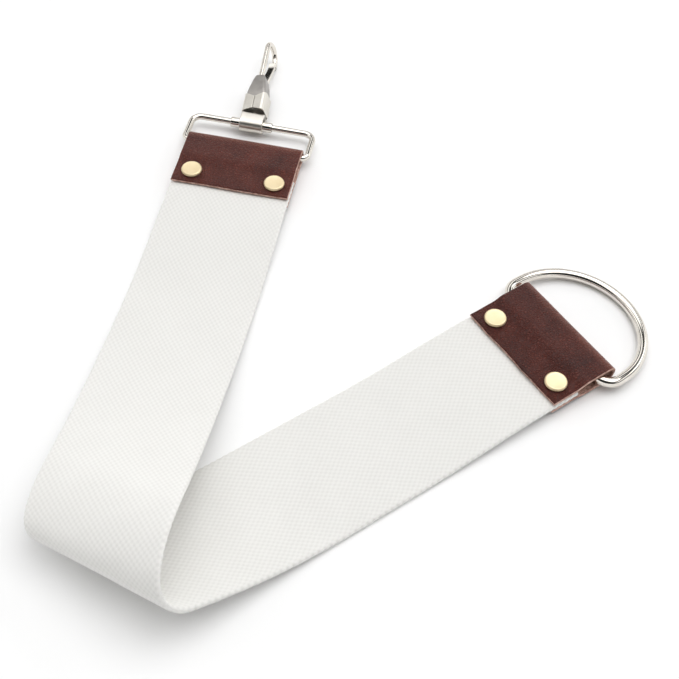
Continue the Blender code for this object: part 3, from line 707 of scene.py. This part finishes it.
def rivet_press(x, y):
    """How much the leather is pressed in round the rivets, from 0 to 1."""
    total = 0.0
    for side in (-1, 1):
        reach = sqrt((x - RIVET_INSET) ** 2 + (y - side * RIVET_SPACING / 2) ** 2)
        total += float(smooth_step((0.0095 - reach) / 0.0050))
    return min(1.0, total)


def make_tab(name, matrix, pocket, leather, body, node_name, seed):
    """A folded leather tab with cut edges that wander, and leaves pressed by the rivets."""
    path = tab_path(pocket)
    count = len(path)
    across_steps = 60
    half_width = TAB_WIDTH / 2
    edge = LEATHER_THICKNESS / 2
    lengths = [0.0]
    for (x0, z0), (x1, z1) in zip(path, path[1:]):
        lengths.append(lengths[-1] + sqrt((x1 - x0) ** 2 + (z1 - z0) ** 2))
    vertices, leaf_uv, sheen_weights = [], [], []
    outline = [(-1.0, 0.0, 1)]
    outline += [(-1 + 2 * j / across_steps, 1.0, 0) for j in range(across_steps + 1)]
    outline += [(1.0, 0.0, 1)]
    outline += [(1 - 2 * j / across_steps, -1.0, 0) for j in range(across_steps + 1)]
    for i, (x, z) in enumerate(path):
        x0, z0 = path[max(i - 1, 0)]
        x1, z1 = path[min(i + 1, count - 1)]
        along = Vector((x1 - x0, z1 - z0)).normalized()
        outward = Vector((along.y, -along.x))
        end_taper = 0.62 if i in (0, count - 1) else 1.0
        for share, side, bulge in outline:
            y = share * (half_width - (0.0 if bulge else edge * 0.45))
            drift = noise.noise(Vector((lengths[i] * 160, share * 1.5, seed)))
            y += share * 0.00016 * drift
            free_end = 1 - float(smooth_step(min(x, 0.012) / 0.012))
            wander = noise.noise(Vector((y * 140, seed * 3.1, z * 200))) * 0.7
            wander += noise.noise(Vector((y * 520, seed * 5.3, z * 90))) * 0.3
            shift = free_end * 0.00035 * (wander - 0.55)
            pressed = rivet_press(x, y)
            swell = noise.noise(Vector((x * 70, y * 70, seed + (2 if z > 0 else 7))))
            swell = (0.00010 + 0.00010 * swell) * (1 - pressed) - 0.00010 * pressed
            rise = side * edge * end_taper + swell
            vertices.append((x + shift + outward.x * rise, y, z + outward.y * rise))
            leaf_uv.append((lengths[i], y + (0.2 if side < 0 else 0.0)))
            # Painted sheen weights: the outside near the fold gets the paler colour.
            sheen_weights.append(float(smooth_step((x - 0.0245) / 0.0040)) if side > 0 else 0.0)
    columns = len(outline)
    faces = quads(count, columns, wrap_columns=True)
    faces += [tuple(range(columns)), tuple(range((count - 1) * columns, count * columns))]
    tab = add_mesh(name, vertices, faces, leather, RAW_EDGE, sharp=60)
    mesh = tab.data
    layer = mesh.uv_layers.new(name="leaf")
    for loop in mesh.loops:
        layer.data[loop.index].uv = leaf_uv[loop.vertex_index]
    mesh.attributes.new("fold_sheen_mask", "FLOAT", "POINT").data.foreach_set("value", sheen_weights)
    outer = set(range(1, across_steps + 2))
    for face in mesh.polygons:
        on_outside = all(index % columns in outer for index in face.vertices)
        face.material_index = 0 if on_outside and len(face.vertices) == 4 else 1
    place(tab, matrix, body, node_name, slot="leather")


# Rivets ----------------------------------------------------------------------------------

def cap_profile(radius, height):
    """A pressed cap's outside: a flat, faintly dished face inside a rolled rim."""
    points = [(0.0, height * 0.93), (radius * 0.40, height * 0.93), (radius * 0.66, height * 0.94)]
    points += [(radius * 0.76, height * 0.965), (radius * 0.82, height), (radius * 0.87, height * 0.985)]
    points += [(radius * 0.92, height * 0.90), (radius * 0.96, height * 0.74)]
    points += [(radius * 0.99, height * 0.50), (radius, height * 0.28), (radius * 0.98, height * 0.08)]
    return points + [(radius * 0.95, 0.0)]


def make_rivets(end, matrix, body):
    """Front caps with their posts, and back caps, of two rivets."""
    seat = LEAF_OUTSIDE + 0.00012
    shank = 0.0015
    outside = cap_profile(RIVET_CAP_RADIUS, RIVET_CAP_HEIGHT)
    front = [(r, seat + z) for r, z in outside]
    front += [(shank + 0.0004, seat), (shank, seat - 0.0004), (shank, -seat + 0.0003), (0, -seat + 0.0003)]
    back = [(r, -seat - z) for r, z in outside]
    back += [(0, -seat)]
    for side, sign in (("left", 1), ("right", -1)):
        spot = matrix @ Matrix.Translation((RIVET_INSET, sign * RIVET_SPACING / 2, 0))
        post = add_mesh(f"{end}_rivet_{side}_cap", *turned(front, 64), BRASS, sharp=75)
        place(post, spot, body, f"{end}_end_rivet_{side}_post", slot="rivet_brass")
        cap = add_mesh(f"{end}_rivet_{side}_back", *turned(back, 64), BRASS, sharp=75)
        place(cap, spot, body, f"{end}_end_rivet_{side}_back_cap", slot="rivet_brass")


# D-ring and loop ---------------------------------------------------------------------------

def make_d_ring():
    """The D-ring as one bent wire, its two ends butted in the middle of the straight bar."""
    corner = RING_CORNER_RADIUS
    corner_x, corner_y = corner - RING_BAR_SETBACK, RING_HALF_WIDTH - corner
    seam = 0.0001
    flat = [(-RING_BAR_SETBACK, corner_y * (1 - i / 6)) for i in range(7)][::-1]
    flat[0] = (-RING_BAR_SETBACK, seam)
    flat += arc(corner_x, corner_y, corner, pi, pi / 2, 12)[1:]
    bow = [(RING_DEPTH * sin(pi * i / 120), RING_HALF_WIDTH * cos(pi * i / 120)) for i in range(121)]
    flat += bow[1:-1]
    flat += arc(corner_x, -corner_y, corner, -pi / 2, -pi, 12)
    flat += [(-RING_BAR_SETBACK, -corner_y * (1 - i / 6)) for i in range(1, 6)]
    flat.append((-RING_BAR_SETBACK, -seam))
    path = [Vector((x + RING_BAR_SETBACK, y, 0)) for x, y in flat]
    ring = add_mesh("ring_wire", *wire(path, RING_WIRE_RADIUS, Vector((0, 0, 1)), sides=32), NICKEL)
    place(ring, RING, "ring", "d_ring", slot="bright_nickel")


def make_loop():
    corner, far_corner = LOOP_CORNER_RADIUS, LOOP_FAR_CORNER_RADIUS
    far_x, far_y = LOOP_DEPTH - far_corner, LOOP_HALF_WIDTH - far_corner
    inner_y = LOOP_HALF_WIDTH - corner
    steps = 12
    flat = [(LOOP_DEPTH, LOOP_JOINT_GAP / 2)]
    flat += arc(far_x, far_y, far_corner, 0, pi / 2, steps)
    flat += arc(corner, inner_y, corner, pi / 2, pi, steps)
    flat += arc(corner, -inner_y, corner, pi, 3 * pi / 2, steps)
    flat += arc(far_x, -far_y, far_corner, 3 * pi / 2, 2 * pi, steps)
    flat.append((LOOP_DEPTH, -LOOP_JOINT_GAP / 2))
    path = [Vector((x, y, 0)) for x, y in flat]
    loop = add_mesh("loop_wire", *wire(path, LOOP_WIRE_RADIUS, Vector((0, 0, 1))), NICKEL)
    place(loop, LOOP, "loop", "wire_loop", slot="bright_nickel")


def saddle_shift():
    """How far the saddle sits to the left of the loop's middle."""
    offset = LOOP.inverted() @ Vector(JOINTS["saddle_hinge"]["pos_m"])
    return offset.y


def make_sleeve():
    """A rolled sheet sleeve with its seam underneath, crimped a little at both ends."""
    wall = SLEEVE_RADIUS - LOOP_WIRE_RADIUS - 0.0002
    middle = SLEEVE_RADIUS - wall / 2
    half_seam = radians(5)
    turn_steps, stations = 40, []
    for share, size in ((-1, 0.93), (-0.97, 0.985), (-0.90, 1.0), (0.90, 1.0), (0.97, 0.985), (1, 0.93)):
        stations.append((share * SLEEVE_LENGTH / 2, size))
    sections = []
    for i in range(turn_steps + 1):
        angle = -pi / 2 + half_seam + (2 * pi - 2 * half_seam) * i / turn_steps
        outer = [((middle + wall / 2) * size, y) for y, size in stations]
        inner = [(middle - wall / 2, y) for y, _ in reversed(stations)]
        sections.append([Vector((r * cos(angle), y, r * sin(angle))) for r, y in outer + inner])
    sleeve = add_mesh("loop_sleeve_rolled", *capped(sections), NICKEL)
    spot = LOOP @ Matrix.Translation((LOOP_DEPTH, saddle_shift(), 0))
    place(sleeve, spot, "loop", "loop_sleeve", slot="bright_nickel")


# Swivel saddle and snap hook -----------------------------------------------------------------

def make_saddle():
    """A plate bent round the sleeve, its base pierced for the swivel pin."""
    height, corner = SADDLE_HALF_HEIGHT, 0.0011
    path = arc(SADDLE_BASE - corner, height - corner, corner, 0, pi / 2, 8)
    path += arc(0, 0, height, pi / 2, 3 * pi / 2, 32)
    path += arc(SADDLE_BASE - corner, corner - height, corner, -pi / 2, 0, 8)
    shape = bent_sheet(path, SADDLE_PLATE, -SADDLE_WIDTH / 2, SADDLE_WIDTH / 2, closed=True)
    saddle = add_mesh("saddle_plate", *shape, SATIN)
    bore = PIN_RADIUS + 0.0002
    hole = [(0, -0.001), (bore, -0.001), (bore, 0.001), (0, 0.001)]
    cutter = add_mesh("saddle_hole", *along_axis(turned(hole), "X"), SATIN)
    cutter.location.x = SADDLE_BASE
    cut(saddle, cutter)
    rounded(saddle, 0.00022)
    place(saddle, SADDLE, "saddle", "swivel_saddle", slot="satin_nickel")


def make_swivel_pin():
    head_low, head_high = -0.00165, -0.00075
    profile = [(0, head_low), (PIN_HEAD_RADIUS * 0.5, head_low + 0.00002)]
    profile.append((PIN_HEAD_RADIUS * 0.8, head_low + 0.00012))
    profile += [(PIN_HEAD_RADIUS * 0.97, head_low + 0.0004), (PIN_HEAD_RADIUS, head_high - 0.0001)]
    profile += [(PIN_HEAD_RADIUS * 0.96, head_high), (PIN_RADIUS, head_high)]
    profile += [(PIN_RADIUS, 0.0055), (0, 0.0055)]
    pin = add_mesh("swivel_pin_turned", *along_axis(turned(profile), "X"), SATIN)
    place(pin, SNAP, "snap", "swivel_pin", slot="satin_nickel")


def make_collar():
    """The band wrapped round the body: butted at the back, its ends cut to shallow Vs."""
    half_seam, wall = 0.00012, COLLAR_PLATE
    width, height = COLLAR_HALF_WIDTH - wall / 2, COLLAR_HALF_HEIGHT - wall / 2
    corner, steps = 0.0016, 10
    half = [(half_seam, height - 0.00012), (half_seam + 0.0004, height)]
    half += [(half_seam + 0.0004 + (width - corner - 0.0005) * i / 7, height) for i in range(1, 7)]
    half += arc(width - corner, height - corner, corner, pi / 2, 0, steps)
    half += arc(width - corner, corner - height, corner, 0, -pi / 2, steps)
    half += [((width - corner) * (1 - i / 6), -height) for i in range(1, 6)]
    path = half + [(0.0, -height)] + [(-u, v) for u, v in reversed(half)]
    sections = []
    for i, (u, v) in enumerate(path):
        before, after = path[max(i - 1, 0)], path[min(i + 1, len(path) - 1)]
        along = Vector((after[0] - before[0], after[1] - before[1])).normalized()
        offset = Vector((-along.y, along.x)) * wall / 2
        on_back = v > height - corner
        near_seam = max(0.0, 1 - abs(u) / (width * 0.95)) if on_back else 0.0
        low = COLLAR_START + 0.0002 + 0.0011 * near_seam ** 1.3
        high = COLLAR_END - 0.0021 * near_seam
        sections.append([
            Vector((low, u - offset.x, v - offset.y)),
            Vector((low, u + offset.x, v + offset.y)),
            Vector((high, u + offset.x, v + offset.y)),
            Vector((high, u - offset.x, v - offset.y)),
        ])
    collar = add_mesh("collar_band", *capped(sections), SATIN)
    rounded(collar, 0.00014)
    place(collar, SNAP, "snap", "snap_collar", slot="bright_nickel")


def make_body():
    """The tapered housing: flat cheeks that narrow to the hook's wire."""
    wide, deep = BODY_HALF_WIDTH, BODY_HALF_HEIGHT
    stations = (
        (BODY_START, wide, -deep, deep, 0.0010),
        (COLLAR_END - 0.0022, wide, -deep, deep, 0.0010),
        (COLLAR_END + 0.0001, wide * 1.00, -0.0035, 0.0037, 0.0010),
        (COLLAR_END + 0.0012, wide * 0.99, -0.0036, 0.0039, 0.0011),
        (COLLAR_END + 0.0032, wide * 0.93, -0.0036, 0.0039, 0.0012),
        (COLLAR_END + 0.0056, wide * 0.82, -0.0036, 0.0039, 0.0013),
        (COLLAR_END + 0.0080, wide * 0.69, -0.0036, 0.0038, 0.0012),
        (BODY_END - 0.0008, BODY_TIP_HALF_WIDTH, -0.0035, 0.0036, 0.0011),
        (BODY_END - 0.0002, BODY_TIP_HALF_WIDTH - 0.0003, -0.0034, 0.0034, 0.0009),
        (BODY_END, BODY_TIP_HALF_WIDTH - 0.0007, -0.0031, 0.0031, 0.0006),
    )
    sections = []
    for x, half_width, low, high, corner in stations:
        ring = rounded_rectangle(half_width, low, high, corner)
        sections.append([Vector((x, y, z)) for y, z in ring])
    # The housing's dark grey colour is a painted dark reflection.
    body = add_mesh("snap_housing", *capped(sections), SATIN_PAINTED_DARK, sharp=28)
    slot_half = GATE_WIDTH / 2 + 0.0003
    slot_start = GATE_PIVOT_X - GATE_ROOT_RADIUS - 0.0003
    outline = [(slot_start, -0.006), (0.024, -0.006), (0.024, -0.0003), (slot_start, -0.0003)]
    levels = [[Vector((x, y, z)) for x, z in outline] for y in (-slot_half, slot_half)]
    cut(body, add_mesh("gate_slot", *capped(levels), SATIN_PAINTED_DARK))
    bore = HOOK_WIRE_RADIUS + 0.00015
    hole = [(0, 0.0147), (bore, 0.0147), (bore, 0.024), (0, 0.024)]
    cutter = add_mesh("wire_hole", *along_axis(turned(hole), "X"), SATIN_PAINTED_DARK)
    cutter.location.z = HOOK_BACK
    cut(body, cutter)
    pin_bore = GATE_PIN_RADIUS + 0.00005
    across = [(0, -0.006), (pin_bore, -0.006), (pin_bore, 0.006), (0, 0.006)]
    cutter = add_mesh("pin_hole", *along_axis(turned(across), "Y"), SATIN_PAINTED_DARK)
    cutter.location = SNAP.inverted() @ GATE.translation
    cut(body, cutter)
    rounded(body, 0.00018, segments=2, angle=50)
    place(body, SNAP, "snap", "snap_body", slot="satin_nickel")


def make_hook():
    """The bent wire: straight back, half-round bend, and a nose with a rounded tip."""
    start, bend_z = GATE_PIVOT_X - 0.0015, HOOK_BACK - HOOK_BEND_RADIUS
    flat = [(start + (HOOK_BEND_CENTRE - start) * i / 10, HOOK_BACK) for i in range(10)]
    flat += arc(HOOK_BEND_CENTRE, bend_z, HOOK_BEND_RADIUS, pi / 2, -pi / 2, 40)
    nose_z = bend_z - HOOK_BEND_RADIUS
    flat += [(HOOK_BEND_CENTRE - HOOK_NOSE * i / 5, nose_z) for i in range(1, 6)]
    path = [Vector((x, 0, z)) for x, z in flat]
    shape = wire(path, HOOK_WIRE_RADIUS, Vector((0, 1, 0)), sides=28, round_end=True)
    hook = add_mesh("hook_wire", *shape, NICKEL)
    place(hook, SNAP, "snap", "hook", slot="bright_nickel")


def gate_outline(pivot_z):
    """The gate's side view about its pivot: a round root and a tongue to the nose."""
    nose_inside = HOOK_BACK - 2 * HOOK_BEND_RADIUS + HOOK_WIRE_RADIUS
    tip_x = HOOK_BEND_CENTRE - HOOK_NOSE * 0.45 - GATE_PIVOT_X
    outer_z = nose_inside + 0.0003 - pivot_z
    inner_z = outer_z + GATE_THICKNESS
    lip_z = outer_z - 0.0004
    shut_x = HOOK_BEND_CENTRE - HOOK_NOSE - 0.0006 - GATE_PIVOT_X
    outline = arc(0, 0, GATE_ROOT_RADIUS, radians(70), radians(270), 24)
    outline += [(0.0040, -0.0018), (shut_x - 0.0006, lip_z), (shut_x, lip_z)]
    return outline + [(shut_x, outer_z), (tip_x, outer_z), (tip_x, inner_z), (shut_x - 0.0010, inner_z)]


def make_gate():
    """The sprung tongue, with a hollow at its root for the spring."""
    pivot_z = (SNAP.inverted() @ GATE.translation).z
    outline = gate_outline(pivot_z)
    levels = [[Vector((x, y, z)) for x, z in outline] for y in (-GATE_WIDTH / 2, GATE_WIDTH / 2)]
    gate = add_mesh("gate_tongue", *capped(levels), NICKEL)
    low, high = (-0.0022, -0.0030), (0.0022, 0.0030)
    square = [low, (high[0], low[1]), high, (low[0], high[1])]
    levels = [[Vector((x, y, z)) for x, z in square] for y in (-0.0009, 0.0009)]
    cut(gate, add_mesh("spring_pocket", *capped(levels), NICKEL))
    bore = GATE_PIN_RADIUS + 0.0001
    hole = [(0, -0.003), (bore, -0.003), (bore, 0.003), (0, 0.003)]
    cut(gate, add_mesh("gate_hole", *along_axis(turned(hole), "Y"), NICKEL))
    rounded(gate, 0.00016)
    place(gate, GATE, "gate", "gate", slot="bright_nickel")


def make_gate_pin():
    half, chamfer = 0.0033, 0.0002
    profile = [(0, -half), (GATE_PIN_RADIUS - chamfer, -half), (GATE_PIN_RADIUS, chamfer - half)]
    profile += [(r, -z) for r, z in reversed(profile)]
    pin = add_mesh("gate_pin_turned", *along_axis(turned(profile), "Y"), SATIN)
    place(pin, GATE, "snap", "gate_pin", slot="satin_nickel")


def make_gate_spring():
    steps, half_stack, leg = 32, 0.0006, 0.0005
    count = int(SPRING_TURNS * steps)
    path = []
    for i in range(count + 1):
        angle = 2 * pi * i / steps
        y = half_stack * (2 * i / count - 1)
        path.append(Vector((SPRING_COIL_RADIUS * cos(angle), y, SPRING_COIL_RADIUS * sin(angle))))
    path.insert(0, path[0] + Vector((0, 0, -leg)))
    path.append(path[-1] + Vector((0, 0, -leg)))
    rings = []
    for i, point in enumerate(path):
        along = (path[min(i + 1, len(path) - 1)] - path[max(i - 1, 0)]).normalized()
        side = along.cross(Vector((0, 1, 0))).normalized()
        other = along.cross(side)
        angles = [2 * pi * j / 12 for j in range(12)]
        rings.append([point + SPRING_WIRE_RADIUS * (cos(a) * side + sin(a) * other) for a in angles])
    spring = add_mesh("gate_spring_coil", *capped(rings), SPRING_STEEL)
    place(spring, GATE, "snap", "gate_spring", slot="spring_steel")


# Stage ------------------------------------------------------------------------------------

def make_floor():
    """A wide pale disc, whose rim is too far away to be seen."""
    disc = bmesh.new()
    bmesh.ops.create_circle(disc, cap_ends=True, segments=96, radius=40.0)
    floor_mesh = bpy.data.meshes.new("floor")
    disc.to_mesh(floor_mesh)
    disc.free()
    floor = bpy.data.objects.new("floor", floor_mesh)
    bpy.context.collection.objects.link(floor)
    material, _, _ = new_material("floor_white", Base_Color=(0.97, 0.97, 0.97, 1.0), Roughness=0.9)
    floor_mesh.materials.append(material)
    floor.location.z = -0.0002


def make_lights():
    """Three soft lights in a room with a pale horizon, dark bands above it and a dark near wall."""
    for name, spot, size, power in (
        ("overhead", (0.25, 0.35, 1.5), 1.2, 5),
        ("left_softbox", (-1.3, 0.3, 0.9), 0.9, 1),
        ("right_softbox", (1.2, 0.9, 0.8), 0.9, 2),
    ):
        lamp = bpy.data.lights.new(name, "AREA")
        lamp.size = size
        lamp.energy = power
        light = bpy.data.objects.new(name, lamp)
        light.location = spot
        light.rotation_euler = (-Vector(spot)).to_track_quat("-Z", "Y").to_euler()
        bpy.context.collection.objects.link(light)
    world = bpy.data.worlds.new("studio")
    bpy.context.scene.world = world
    world.use_nodes = True
    tree = world.node_tree
    direction = node(tree, "ShaderNodeTexCoord").outputs["Generated"]
    height = node(tree, "ShaderNodeSeparateXYZ", {"Vector": direction}).outputs["Z"]
    level = calc(tree, "ADD", calc(tree, "MULTIPLY", height, 0.5), 0.5)
    pale, dark = (0.95, 0.95, 0.95), (0.0, 0.0, 0.0)
    horizon = ramp(tree, level, (0.63, pale), (0.66, dark))
    bands = ramp(
        tree,
        level,
        (0.66, dark),
        (0.73, (0.02, 0.02, 0.02)),
        (0.76, (1.10, 1.10, 1.10)),
        (0.82, (1.25, 1.25, 1.25)),
        (0.835, (0.02, 0.02, 0.02)),
        (0.875, (0.02, 0.02, 0.02)),
        (0.895, (1.40, 1.40, 1.40)),
    )
    depth = node(tree, "ShaderNodeSeparateXYZ", {"Vector": direction}).outputs["Y"]
    nearness = calc(tree, "ADD", calc(tree, "MULTIPLY", depth, 0.5), 0.5)
    wall = ramp(tree, nearness, (0.26, (0.02, 0.02, 0.02)), (0.36, (1.0, 1.0, 1.0)))
    mixing = {"data_type": "RGBA", "clamp_result": False}
    lit = node(tree, "ShaderNodeMix", {"Factor": 1.0, "A": bands, "B": wall}, blend_type="MULTIPLY", **mixing)
    upper = lit.outputs["Result"]
    sky = node(tree, "ShaderNodeMix", {"Factor": 1.0, "A": upper, "B": horizon}, blend_type="ADD", **mixing)
    sky = sky.outputs["Result"]
    tree.links.new(sky, tree.nodes["Background"].inputs["Color"])
    tree.nodes["Background"].inputs["Strength"].default_value = 1.2


def make_camera():
    """The camera stands over the left front, looking down across the V."""
    data = bpy.data.cameras.new("camera")
    data.sensor_width = 36.0
    data.lens = 62.55
    camera = bpy.data.objects.new("camera", data)
    bpy.context.collection.objects.link(camera)
    forward = Vector((0.366, 0.481, -0.797)).normalized()
    right = Vector((0.824, -0.566, 0.037))
    right = (right - forward * right.dot(forward)).normalized()
    up = right.cross(forward)
    turn = Matrix((right, up, -forward)).transposed().to_4x4()
    to_row = Matrix.Rotation(pi / 2 - 2 * HALF_TURN, 4, "Z")
    spot = Vector((-0.1099, -0.1691, 0.3550 + WEBBING_THICKNESS / 2))
    camera.matrix_world = Matrix.Translation(Vector(STRAP_PLACE)) @ to_row @ Matrix.Translation(spot) @ turn
    bpy.context.scene.camera = camera
    bpy.context.scene.view_settings.view_transform = "Standard"


# Assembly -----------------------------------------------------------------------------------

def build():
    make_tab(
        "ring_tab_leather", RING_TAB, RING_POCKET, RING_LEATHER, "lower_run", "ring_end_tab",
        seed=11.3,
    )
    make_tab(
        "hook_tab_leather", HOOK_TAB, LOOP_POCKET, HOOK_LEATHER, "upper_run", "hook_end_tab",
        seed=4.7,
    )
    make_webbing()
    make_rivets("ring", RING_TAB, "lower_run")
    make_rivets("hook", HOOK_TAB, "upper_run")
    make_d_ring()
    make_loop()
    make_sleeve()
    make_saddle()
    make_swivel_pin()
    make_collar()
    make_body()
    make_hook()
    make_gate()
    make_gate_pin()
    make_gate_spring()
    make_floor()
    make_lights()
    make_camera()


build()
